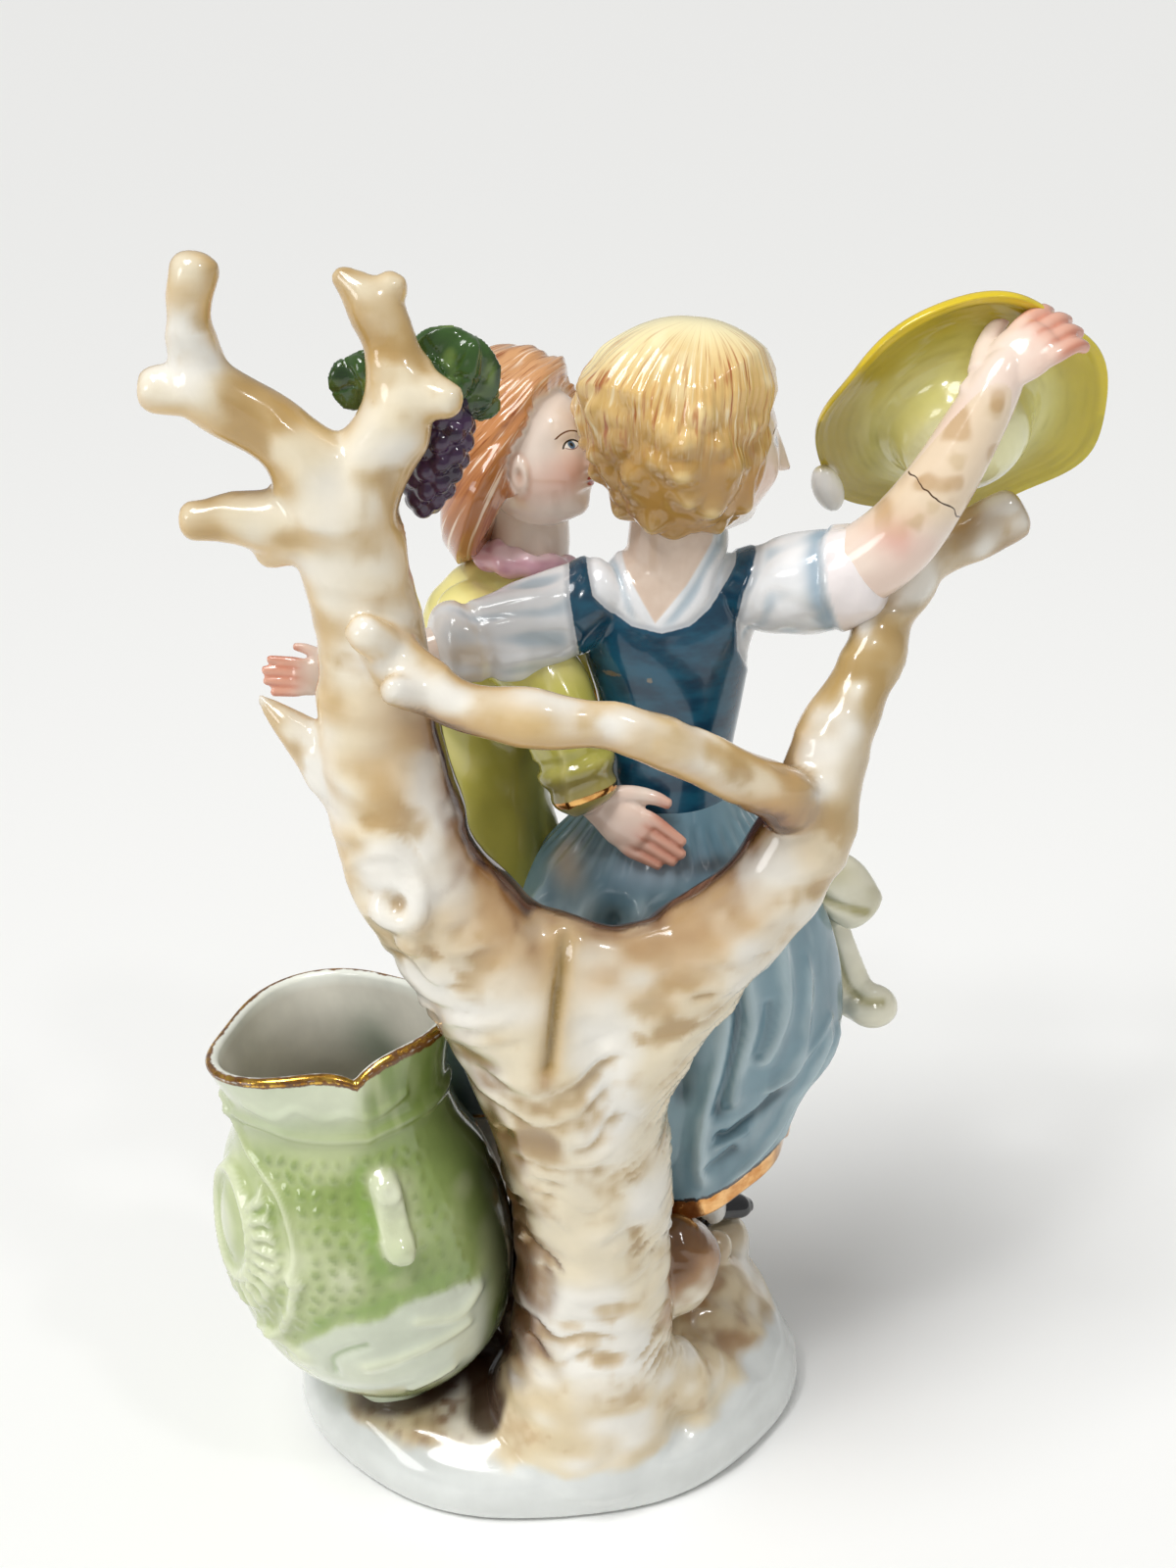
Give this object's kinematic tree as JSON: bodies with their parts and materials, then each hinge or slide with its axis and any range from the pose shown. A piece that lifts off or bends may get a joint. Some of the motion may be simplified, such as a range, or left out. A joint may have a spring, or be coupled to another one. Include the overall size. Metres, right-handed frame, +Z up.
{
  "type": "porcelain figure group with spill vase",
  "caption": "Glazed porcelain figure group: a girl lifts her straw hat as a boy embraces her, with a forked tree and a round-bellied spill vase on one oval mound.",
  "frame": {"origin": "centre of the oval mound's flat underside, on the surface the group stands on", "axes": "+Z up, +Y the way the figures' front faces, -Y the side of the tree, which is the side in the picture, +X to the right seen from -Y"},
  "size_m": [0.162, 0.0894, 0.2398],
  "materials": {
    "porcelain": "clear gloss glaze over hand-painted colours, with gilding on the hem, rim and cuff"
  },
  "bodies": {
    "root": {"figure_group": "porcelain"}
  },
  "joints": []
}
